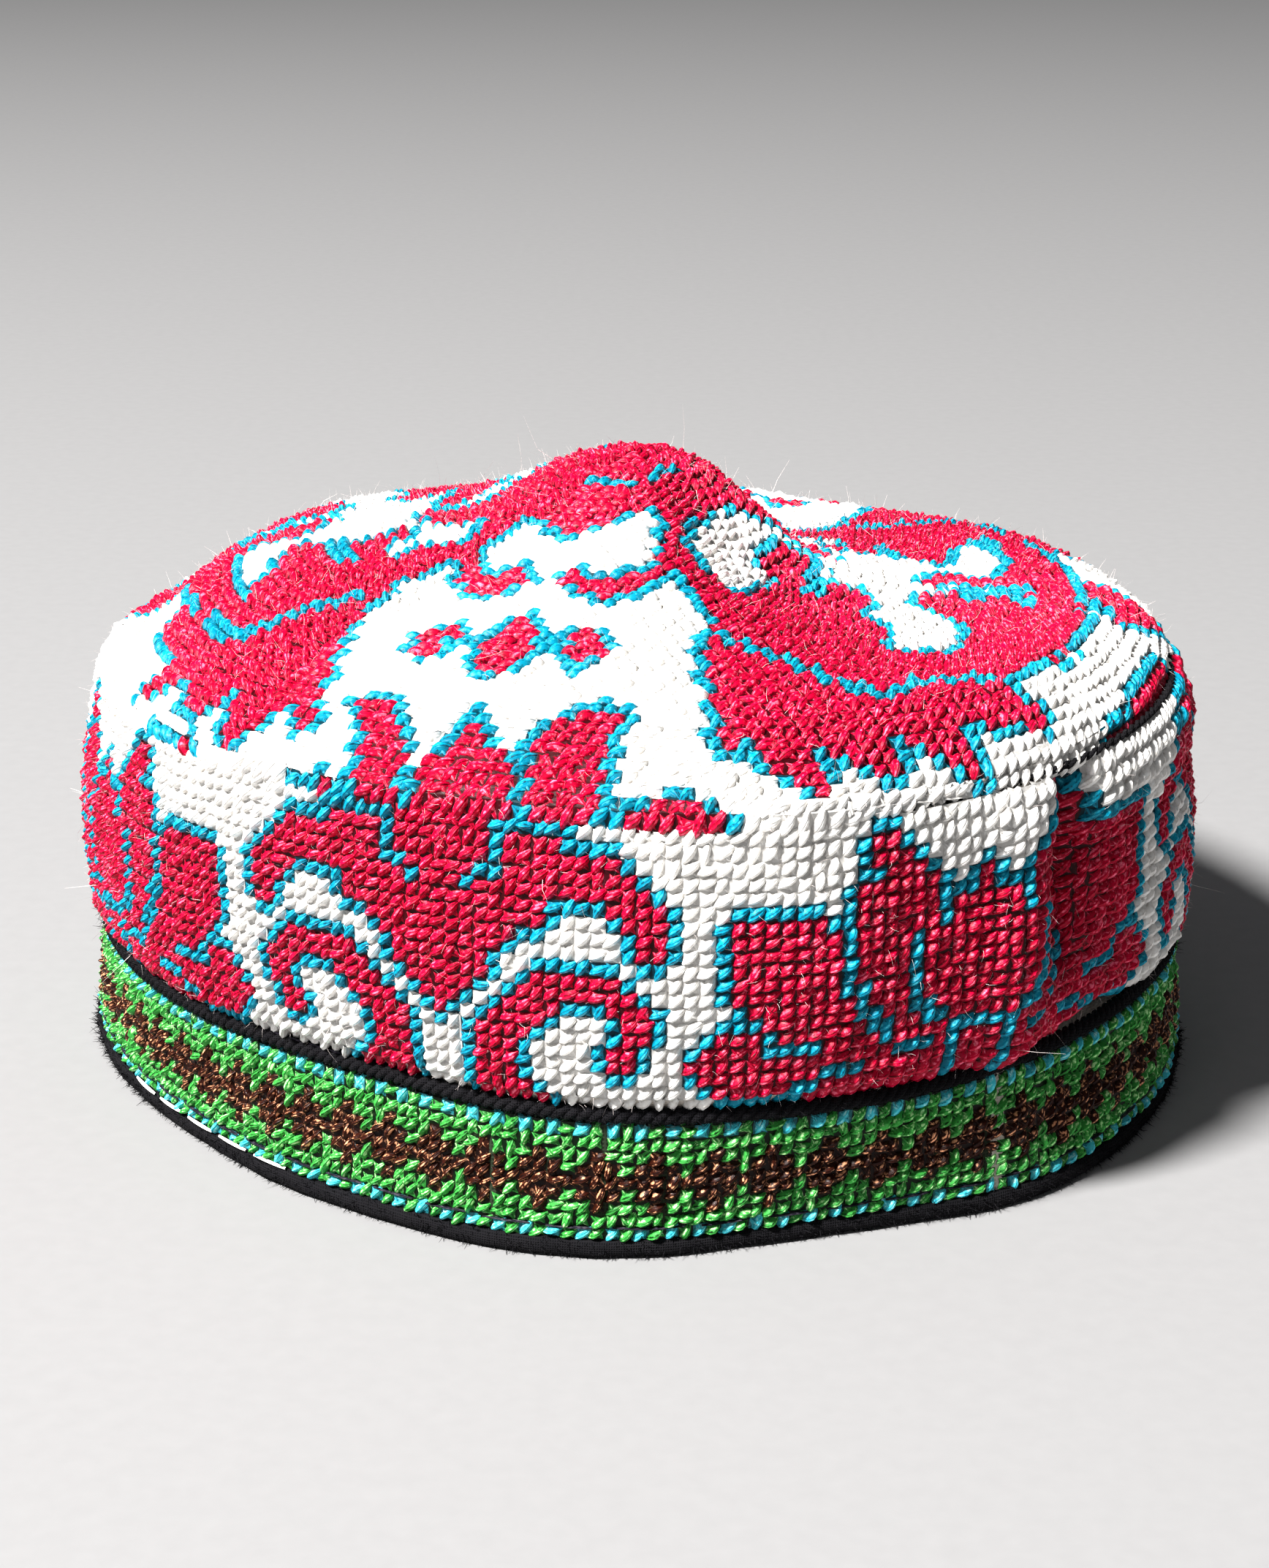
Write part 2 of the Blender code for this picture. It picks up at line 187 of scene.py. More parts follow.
# Motifs of the crown, drawn over its front: degrees, and millimetres from the peak along the cloth
CROWN_RED = [
    [(-130, 0), (95, 0), (95, 23), (75, 24), (60, 19), (45, 18.5), (32, 22), (27, 22.5), (20, 25),
     (14, 30), (12, 34), (16, 36), (15, 38), (19, 40), (17, 43), (21, 45), (26, 44), (31, 40.5),
     (36, 39), (42, 38), (46, 35), (45, 31.5), (50, 29.5), (60, 29.5), (70, 30), (76, 33), (74, 36),
     (66, 36), (60, 36.5), (53, 38), (47, 40), (50, 42.5), (56, 41.5), (63, 40.5), (64, 44), (61, 48),
     (56, 49), (50, 51), (49, 55), (45, 59), (38, 64), (37, 67), (42, 70), (46, 72.5), (54, 68.5),
     (60, 65), (62, 60), (66, 55), (70, 53.5), (76, 55), (78, 60), (78, 66), (76, 69.5), (85, 70.5),
     (95, 67.5), (95, 73), (88, 74.5), (80, 77.5), (70, 79.5), (62, 82), (55, 84.5), (50, 86),
     (45, 85.5), (41, 86.5), (40, 90), (40, 98), (34, 95.5), (30.5, 95),
     (30.5, 103), (28, 102), (25.5, 97), (23, 94), (22.5, 101), (20.5, 100.5), (18, 96), (16, 94),
     (15.5, 102), (13, 100), (11, 94.5), (10, 92),
     (8.5, 94), (7.6, 92), (8.2, 80), (8.6, 70), (9.5, 64), (11, 61), (12.5, 57.5), (12, 52), (11, 47),
     (10.5, 43), (8, 43), (4, 44.5), (2, 45), (1.5, 48), (-1, 51), (-3, 49.5), (-5, 51.5), (-9, 49),
     (-12, 47), (-14.5, 44.5), (-14.5, 41), (-12, 41), (-10, 43.5), (-6, 45), (-2, 44), (1, 43.5),
     (4, 42), (7, 37), (9, 32), (11, 27), (12, 23), (5, 22.5), (0, 23.5), (-5, 24.5), (-9, 26),
     (-13, 28), (-20, 28.5), (-25, 28), (-30, 26.5), (-35, 25), (-45, 24.5), (-48, 27), (-46, 33),
     (-43, 38), (-40, 40), (-36, 41.5), (-33, 43), (-30, 42.5), (-28, 40), (-25, 40), (-23.5, 42.5),
     (-22, 45), (-24, 46), (-26, 48.5), (-30, 50), (-34, 48.5), (-38, 45.5), (-41, 43), (-44, 40),
     (-48, 39.5), (-47, 47), (-48.5, 51), (-46.5, 55), (-45, 59.5), (-43, 64), (-40, 71), (-36, 79),
     (-33, 88.5), (-34.5, 89.5),
     (-37.5, 83), (-38.5, 89), (-41, 94.5), (-43, 93), (-45.5, 85.5), (-48, 91), (-51.5, 91),
     (-54, 84.5), (-57.5, 89.5), (-60.5, 91.5), (-61.5, 85), (-64, 82), (-70, 81.5), (-79, 82),
     (-79, 76.5), (-66, 74.8), (-78, 74.2), (-88, 76), (-95, 77), (-105, 80), (-112, 87), (-130, 91),
     (-130, 73), (-118, 69), (-108, 61), (-100, 55), (-92, 53.5), (-88, 56), (-90, 60), (-93, 64),
     (-90, 66.5), (-84, 68), (-78, 69), (-66, 68.3), (-70, 66), (-73, 62), (-76, 60), (-82, 57),
     (-79, 54), (-76, 51.5), (-66, 51.5), (-74, 49), (-74, 46), (-75, 42), (-79, 40), (-75, 38.5),
     (-69, 39), (-71, 42), (-68, 44.5), (-63, 47), (-59.5, 45.5), (-60, 41), (-57, 37), (-53, 34.5),
     (-57, 31.5), (-61, 28), (-66, 27.5), (-73, 30), (-80, 34), (-90, 37), (-130, 37)],
    [(-29.5, 82), (-27.5, 81), (-25.5, 83), (-23, 87), (-21.4, 92), (-21.3, 106), (-24.6, 106),
     (-25.5, 95), (-26.5, 89), (-28, 85)],
    [(-19.5, 95.5), (-18.2, 91), (-17, 87.5), (-15.8, 83.5), (-14.4, 86), (-12.8, 90), (-10.8, 95.5),
     (-10.8, 106), (-19.5, 106)],
    [(-9.1, 88), (-7.5, 86), (-5.5, 83), (-3, 82), (-1, 84), (-2, 88), (-2.5, 95), (-3.2, 106),
     (-9.1, 106)],
    [(-34, 99.5), (-29, 97.5), (-26.5, 98.5), (-26.5, 106), (-35, 106)],
    [(-1.5, 104), (0, 101), (3, 100.5), (6, 102.5), (8, 108), (-1.5, 108)],
    [(48, 101), (55, 97), (62, 94), (66, 92.5), (72, 95), (70, 99), (60, 106), (46, 106)],
    [(70, 86), (75, 83), (80, 79), (90, 75.5), (95, 74.5), (95, 95), (85, 93), (80, 90.5), (75, 88)],
    [(80, 52), (95, 51), (95, 58), (86, 57), (82, 55)],
    [(-60, 99), (-52, 96.5), (-46, 95.5), (-48, 99), (-60, 100)],
]
CROWN_DIAMONDS = [(-27.4, 65.0, 3.7, 6.0), (-16.9, 65.2, 4.9, 9.0), (-6.8, 65.5, 3.9, 6.3)]
CROWN_TEAL = [
    [(12, 62.5), (16, 65), (20, 70), (23, 77), (26, 84.5)],
    [(28, 83), (33, 81), (37, 83.5), (41, 87)],
    [(-50, 58), (-52, 62), (-53.5, 67), (-55.7, 74.5)],
    [(-66, 74.4), (-57, 75.2)],
    [(-66, 51), (-77, 50)],
    [(-28, 13.5), (-20, 14.5), (-10, 13.5), (6, 13)],
    [(12, 12.5), (20, 10.5), (42, 9)],
    [(-24.5, 64.5), (-22, 64.5)],
    [(-12.3, 65), (-10.3, 65)],
    [(75, 61), (85, 61)],
    [(74, 70.5), (84, 66)],
]
# Azimuth where the crown's front half starts
FRONT_FROM = -96.0

# The band's stitches from top to bottom, a repeat of four: pale blue, green and brown
BAND_CHART = ("CGCG", "GGGG", "GBGG", "BBBG", "BBBB", "BBBG", "GBGG", "GGGG", "CGCG")

THREADS = ("white", "red", "teal", "green", "brown", "blue")
WHITE, RED, TEAL, GREEN, BROWN, BLUE = range(len(THREADS))
# Each thread's colour in the gaps between its strands, darker as painted shade, along them, and where a
# painted highlight glints on it, and how bright the ground under its stitches is, darkened as painted shade
THREAD_LOOKS = {
    "white": ((0.74, 0.70, 0.65), (0.92, 0.90, 0.87), (0.97, 0.97, 0.96), 0.50),
    "red": ((0.14, 0.000, 0.006), (0.54, 0.000, 0.031), (0.98, 0.150, 0.260), 0.05),
    "teal": ((0.000, 0.06, 0.10), (0.000, 0.25, 0.39), (0.05, 0.50, 0.64), 0.08),
    "green": ((0.002, 0.03, 0.002), (0.04, 0.32, 0.05), (0.55, 0.97, 0.42), 0.02),
    "brown": ((0.005, 0.001, 0.001), (0.028, 0.005, 0.002), (0.80, 0.36, 0.19), 0.20),
    "blue": ((0.01, 0.22, 0.30), (0.06, 0.60, 0.72), (0.40, 0.92, 0.95), 0.20),
    "ink": ((0.003, 0.003, 0.005), (0.012, 0.010, 0.018), (0.06, 0.05, 0.07), 1.0),
}
# Strands across a leg, their twist along it, how much they show, scale of the fluff, and places of colours
STRANDS = 3.4
STRAND_TWIST = 0.9
STRAND_SHOW = 0.22
FLUFF_SCALE = 1300.0
GAP_AT, MAIN_AT, PAINTED_GLINT_AT = 0.40, (0.54, 0.73), 0.86

# Woven cloths: colour of the ribs and of their gaps (painted shade), scale of ribs, roughness, strength of
# relief
CLOTH_LOOKS = {
    "pale_cloth": ((0.62, 0.58, 0.52), (0.34, 0.30, 0.26), 500.0, 0.9, 0.5),
    "dark_cloth": ((0.030, 0.045, 0.025), (0.008, 0.010, 0.006), 500.0, 0.9, 0.5),
    "pale_fibre": ((0.86, 0.80, 0.78), (0.60, 0.52, 0.50), 500.0, 0.9, 0.5),
    "black_fluff": ((0.012, 0.011, 0.013), (0.002, 0.002, 0.003), 900.0, 0.95, 0.9),
}

# Fuzz of the black pieces and loose fibres of the pale thread: how many, how long and how wide
BRAID_FUZZ = (6000, 0.0011, 0.00005)
RIM_FUZZ = (12000, 0.0010, 0.00008)
FIBRES = (("short", 5000, 0.0018, 0.000018), ("stray", 90, 0.0060, 0.000026))
RING_POINTS = 720
BRAID_POINTS = 1000

# Running threads: name, node and slot, thread, first and last azimuth, height, length of a stitch and of a
# gap, width of the thread, and how far it stands off, in stitches
RUNNING_THREADS = [
    ("band_running", "green_band", "band_stitching", "ink",
     0.0, 360.0, 0.0046, 0.0068, 0.0022, 0.00016, 0.22),
    ("rim_basting", "green_band", "band_stitching", "white",
     -64.0, -40.0, 0.0030, 0.0075, 0.0020, 0.00024, 0.45),
    ("wall_running", "side_wall", "wall_stitching", "ink",
     -38.0, -29.0, 0.0243, 0.0026, 0.0014, 0.00022, 0.42),
]


def node_tree(name):
    """Search tree over the faces of one CAD node."""
    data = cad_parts[name].data
    points = [tuple(vertex.co) for vertex in data.vertices]
    faces = [tuple(face.vertices) for face in data.polygons]
    return BVHTree.FromPolygons(points, faces)


def smooth_around(values, width=5):
    """Running mean round the cap, along the first axis of a table."""
    kernel = np.hanning(width + 2)[1:-1]
    kernel /= kernel.sum()
    half = width // 2
    out = np.zeros_like(values)
    for shift, weight in zip(range(-half, half + 1), kernel):
        out += weight * np.roll(values, shift, axis=0)
    return out


def profile_points(radius, height, azimuths):
    """Points of a table of radii and heights, one row for each azimuth."""
    angles = np.radians(azimuths)[:, None]
    x = CENTRE[0] + radius * np.sin(angles)
    y = CENTRE[1] - radius * np.cos(angles)
    return np.stack((x, y, np.broadcast_to(height, radius.shape)), axis=-1)


def upright_skin(name, low, high, steps=40):
    """The outside of an upright CAD node between two heights, as points for each azimuth and height."""
    tree = node_tree(name)
    azimuths = np.arange(360.0)
    heights = np.linspace(low, high, steps)
    radius = np.zeros((len(azimuths), steps))
    for row, azimuth in enumerate(azimuths):
        angle = math.radians(azimuth)
        out = Vector((math.sin(angle), -math.cos(angle), 0.0))
        for column, height in enumerate(heights):
            start = Vector((CENTRE[0], CENTRE[1], height)) + out * REACH
            hit = tree.ray_cast(start, -out, REACH)[0]
            radius[row, column] = 0.0 if hit is None else (hit - start + out * REACH).length
    for column in range(1, steps):
        missed = radius[:, column] < LEAST_RADIUS
        radius[missed, column] = radius[missed, column - 1]
    return profile_points(smooth_around(radius), heights, azimuths)


def crown_skin():
    """The outside of the crown: points for each azimuth, evenly along the cloth from peak to seam."""
    tree = node_tree("crown")
    azimuths = np.arange(360.0)
    tilts = np.radians(np.linspace(90.0, CROWN_LOWEST_TILT, CROWN_RAYS))
    eye = Vector((CENTRE[0], CENTRE[1], LOOK_INSIDE))
    radius = np.zeros((len(azimuths), CROWN_STEPS))
    height = np.zeros((len(azimuths), CROWN_STEPS))
    length = np.zeros(len(azimuths))
    for row, azimuth in enumerate(azimuths):
        angle = math.radians(azimuth)
        profile = []
        for tilt in tilts:
            level = math.cos(tilt)
            out = Vector((math.sin(angle) * level, -math.cos(angle) * level, math.sin(tilt)))
            hit = tree.ray_cast(eye + out * REACH, -out, REACH)[0]
            if hit is None:
                break
            profile.append((math.hypot(hit.x - CENTRE[0], hit.y - CENTRE[1]), hit.z))
        profile = np.array(profile)
        along = np.concatenate(([0.0], np.cumsum(np.hypot(*np.diff(profile, axis=0).T))))
        length[row] = along[-1]
        stations = np.linspace(0.0, along[-1], CROWN_STEPS)
        radius[row] = np.interp(stations, along, profile[:, 0])
        height[row] = np.interp(stations, along, profile[:, 1])
    points = profile_points(smooth_around(radius), smooth_around(height), azimuths)
    return points, smooth_around(length)


def read_skin(skin, azimuth, share):
    """Points of a skin at azimuths in degrees and shares of its second axis."""
    turns = np.mod(azimuth, 360.0)
    row = np.floor(turns).astype(int) % 360
    part = (turns - np.floor(turns))[..., None]
    place = np.clip(share, 0.0, 1.0) * (skin.shape[1] - 1)
    column = np.minimum(place.astype(int), skin.shape[1] - 2)
    rest = (place - column)[..., None]
    after = (row + 1) % 360
    first = skin[row, column] * (1 - rest) + skin[row, column + 1] * rest
    second = skin[after, column] * (1 - rest) + skin[after, column + 1] * rest
    return first * (1 - part) + second * part


def inside(outline, x, y):
    """Which points lie inside a closed outline."""
    within = np.zeros(x.shape, bool)
    for (x0, y0), (x1, y1) in zip(outline, outline[1:] + outline[:1]):
        if y0 == y1:
            continue
        crosses = (y0 > y) != (y1 > y)
        within ^= crosses & (x < (x1 - x0) * (y - y0) / (y1 - y0) + x0)
    return within


def inside_any(outlines, x, y):
    within = np.zeros(x.shape, bool)
    for outline in outlines:
        within |= inside(outline, x, y)
    return within


def near_line(line, x, y, reach, squeeze=1.0):
    """Which points lie within reach of a line, with x stretched by squeeze first."""
    close = np.zeros(x.shape, bool)
    for (x0, y0), (x1, y1) in zip(line, line[1:]):
        dx = (x1 - x0) * squeeze
        dy = y1 - y0
        px = (x - x0) * squeeze
        py = y - y0
        share = np.clip((px * dx + py * dy) / np.maximum(dx * dx + dy * dy, 1e-9), 0.0, 1.0)
        close |= np.hypot(px - share * dx, py - share * dy) < reach
    return close


def wall_thread(motif, across, row):
    """Thread of a stitch of the wall, across stitches from the motif's middle and row rows up."""
    reds = HEART_RED if motif == "heart" else TULIP_RED
    teals = HEART_TEAL if motif == "heart" else TULIP_TEAL
    folded = FOLD_RED if motif == "folded tulip" else []

    def is_red(x, y):
        return inside_any(reds, np.abs(x), y) | inside_any(folded, x, y)

    red = is_red(across, row)
    beside = is_red(across - 1, row) | is_red(across + 1, row)
    beside |= is_red(across, row - 1) | is_red(across, row + 1)
    teal = beside & ~red
    for line in teals:
        teal |= near_line(line, np.abs(across), row, LINE_REACH_WALL) & ~inside_any(folded, across, row)
    return np.where(teal, TEAL, np.where(red, RED, WHITE))


def crown_red(azimuth, distance):
    """Where the crown is red. The back repeats the front, turned half round."""
    turned = np.mod(azimuth - FRONT_FROM, 180.0) + FRONT_FROM
    red = inside_any(CROWN_RED, turned, distance)
    for middle, reach, half_width, half_length in CROWN_DIAMONDS:
        red |= np.abs(turned - middle) / half_width + np.abs(distance - reach) / half_length < 1.0
    return red


def crown_thread(azimuth, distance, step):
    """Thread of a stitch of the crown, at an azimuth and a distance in millimetres from the peak."""
    aside = np.degrees(step / np.maximum(distance, step))
    red = crown_red(azimuth, distance)
    beside = crown_red(azimuth - aside, distance) | crown_red(azimuth + aside, distance)
    beside |= crown_red(azimuth, distance - step) | crown_red(azimuth, distance + step)
    teal = beside & ~red
    turned = np.mod(azimuth - FRONT_FROM, 180.0) + FRONT_FROM
    for line in CROWN_TEAL:
        middle = np.mean([place[1] for place in line])
        reach = (LINE_REACH_OUTER if middle > PEAK_ZONE_MM else LINE_REACH_PEAK) * step
        teal |= near_line(line, turned, distance, reach, math.radians(middle))
    return np.where(teal, TEAL, np.where(red, RED, WHITE))


def swell(azimuth, middle, half_width):
    """A smooth bump of height 1 round the cap, about an azimuth in degrees."""
    away = np.abs(np.mod(azimuth - middle + 180.0, 360.0) - 180.0) / half_width
    return np.where(away < 1.0, 0.5 + 0.5 * np.cos(math.pi * np.minimum(away, 1.0)), 0.0)


def progress(share, start, end=1.0):
    """How far a share has come from start to end, from 0 to 1."""
    return np.clip((share - start) / (end - start), 0.0, 1.0)


def padded(azimuth):
    """How much of the padded edge there is at an azimuth, from 0 to 1."""
    return swell(azimuth, PAD_MIDDLE, PAD_REACH) ** 0.5


def bump(azimuth, place):
    """Height of one relief of the wall, given as its azimuth, reach and height."""
    middle, half_width, height = place
    return height * swell(azimuth, middle, half_width)


def wall_relief(azimuth, share):
    """How far the wall's stitches stand out at the right front: a padded top edge, a ridge and a pinch."""
    roll = PAD_ROLL * padded(azimuth) * np.sin(math.pi * 0.90 * progress(share, ROLL_FROM))
    upper = progress(share, *UPPER_SPAN)
    ridge = bump(azimuth, WALL_RIDGE) * (1.0 - 0.4 * upper)
    pinch = bump(azimuth, WALL_PINCH) * upper ** 0.7
    flat = bump(azimuth, WALL_FLAT) * (1.0 - upper)
    return roll + ridge + pinch + flat


def foot_relief(azimuth, share):
    """The wall's relief for a share of its whole height, which starts below the band."""
    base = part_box("side_wall")[0][2]
    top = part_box("side_wall")[1][2]
    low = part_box("black_braid")[1][2]
    return wall_relief(azimuth, (share * (top - base) - low + base) / (top - low))


def crown_relief(azimuth, share):
    """How far the crown's stitches stand out: soft dents, and an edge tucked behind the padded edge."""
    edge = progress(share, TUCK_FROM)
    plump = np.sin(math.pi * progress(share, *PLUMP_SPAN))
    relief = padded(azimuth) * (PAD_PLUMP * plump - PAD_TUCK * edge ** 1.4)
    for middle, half_width, start, end, height in CROWN_DENTS:
        place = progress(share, start, end)
        relief = relief + height * swell(azimuth, middle, half_width) * np.sin(math.pi * place) ** 2
    return relief


def cell_normals(corners):
    """The outward direction of every cell."""
    normal = np.cross(corners[:, 1] - corners[:, 0] + corners[:, 3] - corners[:, 2],
                      corners[:, 2] - corners[:, 0] + corners[:, 3] - corners[:, 1])
    return normal / np.maximum(np.linalg.norm(normal, axis=1, keepdims=True), 1e-12)


def stand_out(corners, azimuths, shares, relief):
    """Cell corners moved out of the skin by a relief."""
    return corners + cell_normals(corners)[:, None, :] * relief(azimuths, shares)[..., None]


def wall_cells(skin):
    """Corners and threads of the wall's stitches."""
    middle = skin[:, skin.shape[1] // 2, :2]
    around = np.linalg.norm(np.roll(middle, -1, axis=0) - middle, axis=1)
    around = np.concatenate(([0.0], np.cumsum(around)))
    edges = []
    threads = []
    rows = np.arange(WALL_ROWS) + 0.5
    ends = [start for name, start, count in WALL_SECTORS[1:]] + [WALL_SECTORS[0][1] + 360.0]
    for (motif, start, count), end in zip(WALL_SECTORS, ends):
        reach = [np.interp(at % 360.0, np.arange(361), around) + around[-1] * (at // 360.0)
                 for at in (start, end)]
        marks = np.linspace(reach[0], reach[1], count + 1)[:-1]
        edges.append(np.interp(marks % around[-1], around, np.arange(361)))
        across = np.arange(count) - (count - 1) / 2.0
        threads.append(wall_thread(motif, *np.meshgrid(across, rows, indexing="ij")))
    edges = np.concatenate(edges)
    left, share = np.meshgrid(edges, np.arange(WALL_ROWS) / WALL_ROWS, indexing="ij")
    right = np.meshgrid(np.roll(edges, -1), rows, indexing="ij")[0]
    rise = 1.0 / WALL_ROWS
    azimuths = np.stack((left, right, left, right), axis=2).reshape(-1, 4)
    shares = np.stack((share, share, share + rise, share + rise), axis=2).reshape(-1, 4)
    corners = stand_out(read_skin(skin, azimuths, shares), azimuths, shares, wall_relief)
    lift = SEAM_LIFT + PAD_LIFT * padded(azimuths)
    corners[..., 2] += lift * progress(shares, LIFT_FROM)
    return corners, np.concatenate(threads).ravel()


def band_cells():
    """Corners and threads of the band's stitches."""
    low = RIM_HEIGHT - BAND_OVERLAP
    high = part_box("green_band")[1][2]
    skin = upright_skin("green_band", low, high)
    rows = len(BAND_CHART)
    edges = np.arange(BAND_COLUMNS) * 360.0 / BAND_COLUMNS
    left, share = np.meshgrid(edges, np.arange(rows) / rows, indexing="ij")
    right = left + 360.0 / BAND_COLUMNS
    rise = 1.0 / rows
    corners = np.stack(
        [read_skin(skin, left, share), read_skin(skin, right, share),
         read_skin(skin, left, share + rise), read_skin(skin, right, share + rise)], axis=2)
    kinds = {"C": BLUE, "G": GREEN, "B": BROWN}
    chart = np.array([[kinds[letter] for letter in line] for line in reversed(BAND_CHART)])
    threads = chart[:, np.arange(BAND_COLUMNS) % len(BAND_CHART[0])].T
    return corners.reshape(-1, 4, 3), threads.ravel()


def crown_cells(skin, length):
    """Corners and threads of the crown's stitches, and which of them lean the other way."""
    corners = []
    threads = []
    leaning = []
    for ring in range(CROWN_RINGS):
        outer = (ring + 1) / CROWN_RINGS
        inner = ring / CROWN_RINGS
        middle = (ring + 0.5) / CROWN_RINGS
        loop = read_skin(skin, np.arange(360.0), np.full(360, middle))
        girth = np.linalg.norm(np.roll(loop, -1, axis=0) - loop, axis=1).sum()
        count = max(int(round(girth / STITCH)), 5)
        left = (np.arange(count) + RING_SHIFT * ring) * 360.0 / count
        right = left + 360.0 / count
        azimuths = np.stack((left, right, left, right), axis=1)
        shares = np.tile((outer, outer, inner, inner), (count, 1))
        cells = stand_out(read_skin(skin, azimuths, shares), azimuths, shares, crown_relief)
        if ring == CROWN_RINGS - 1:
            overlap = EDGE_OVERLAP * (1.0 - padded(azimuths[:, :2]))
            cells[:, :2] += (cells[:, :2] - cells[:, 2:]) * overlap[..., None]
        corners.append(cells)
        azimuth = np.mod((left + right) / 2.0, 360.0)
        distance = middle * length[np.floor(azimuth).astype(int) % 360] * 1000.0
        threads.append(crown_thread(azimuth, distance, STITCH * 1000.0))
        turned = np.mod(azimuth, 180.0)
        leaning.append((turned > LEANING[0]) & (turned < LEANING[1]))
    return np.concatenate(corners), np.concatenate(threads), np.concatenate(leaning)


def leg_grid(along, across, width, reach, rise, sink):
    """A leg's points: places across and up the cell, heights over it, places on the leg, and painted shade.
    """
    t = np.linspace(0.0, 1.0, along)
    s = np.linspace(-1.0, 1.0, across)
    t, s = np.meshgrid(t, s, indexing="ij")
    place = 0.5 + (t - 0.5) * reach
    taper = np.sqrt(np.clip(np.sin(math.pi * (0.08 + 0.84 * t)), 0.0, 1.0))
    offset = s * width * taper / math.sqrt(2.0)
    dome = np.sqrt(np.clip(1.0 - s * s, 0.0, 1.0))
    height = rise * taper * dome - sink * (1.0 - np.sin(math.pi * t)) - 0.06 * np.abs(s)
    # The last value is painted shade: darker towards the leg's edges and ends, brightest along its crest
    return place - offset, place + offset, height, t, (s + 1.0) / 2.0, 0.45 + 0.58 * dome * taper


def ground_grid():
    """A flat patch that fills a cell, just over the cloth, later painted darker as shade between stitches."""
    u, w = np.meshgrid((-0.02, 1.02), (1.02, -0.02), indexing="ij")
    return u, w, np.full(u.shape, 0.04), np.full(u.shape, 0.5), np.full(u.shape, 0.6), np.ones(u.shape)


def grid_faces(along, across):
    """Corner numbers of the faces of a grid of points, turned so that they face out of the cell."""
    first = np.arange((along - 1) * across).reshape(along - 1, across)[:, :-1].ravel()
    return np.stack((first, first + across, first + across + 1, first + 1), axis=1)[:, ::-1]


def lay_legs(corners, mirrored, grid, rng, wobble):
    """Points of one leg in every cell."""
    flat = [part.ravel() for part in grid[:3]]
    flipped = [part[:, ::-1].ravel() for part in grid[:3]]
    mirrored = mirrored[:, None]
    us = np.where(mirrored, 1.0 - flipped[0], flat[0]) - 0.5
    ws = np.where(mirrored, flipped[1], flat[1]) - 0.5
    hs = np.where(mirrored, flipped[2], flat[2])
    count = len(corners)
    turn = rng.normal(0.0, wobble * 3.0, (count, 1))
    us, ws = us * np.cos(turn) - ws * np.sin(turn), us * np.sin(turn) + ws * np.cos(turn)
    us = us * rng.normal(1.0, wobble, (count, 1)) + 0.5 + rng.normal(0.0, wobble, (count, 1))
    ws = ws * rng.normal(1.0, wobble, (count, 1)) + 0.5 + rng.normal(0.0, wobble, (count, 1))
    hs = hs * np.clip(rng.normal(1.0, wobble * 3.0, (count, 1)), 0.5, 1.4)
    us = us[..., None]
    ws = ws[..., None]
    p00, p10, p01, p11 = [corners[:, index, None, :] for index in range(4)]
    points = p00 * (1 - us) * (1 - ws) + p10 * us * (1 - ws) + p01 * (1 - us) * ws + p11 * us * ws
    return points + cell_normals(corners)[:, None, :] * hs[..., None] * STITCH


def make_mesh(name, points, faces, materials, slots=None, uv=None, tone_and_shade=None):
    """One object from arrays of points, four-cornered faces and material numbers."""
    data = bpy.data.meshes.new(name)
    data.vertices.add(len(points))
    data.vertices.foreach_set("co", np.asarray(points, np.float32).ravel())
    data.loops.add(faces.size)
    data.loops.foreach_set("vertex_index", np.asarray(faces, np.int32).ravel())
    data.polygons.add(len(faces))
    data.polygons.foreach_set("loop_start", np.arange(len(faces), dtype=np.int32) * 4)
    for entry in materials:
        data.materials.append(entry)
    if slots is not None:
        data.polygons.foreach_set("material_index", np.asarray(slots, np.int32))
    if uv is not None:
        layer = data.uv_layers.new(name="thread")
        layer.uv.foreach_set("vector", np.asarray(uv[faces.ravel()], np.float32).ravel())
    # A brightness per point: a random factor per stitch times painted shade
    if tone_and_shade is not None:
        entry = data.attributes.new("tone_and_shade", "FLOAT", "POINT")
        entry.data.foreach_set("value", np.asarray(tone_and_shade, np.float32))
    data.update(calc_edges=True)
    data.validate()
    data.shade_smooth()
    made = bpy.data.objects.new(name, data)
    bpy.context.scene.collection.objects.link(made)
    return made


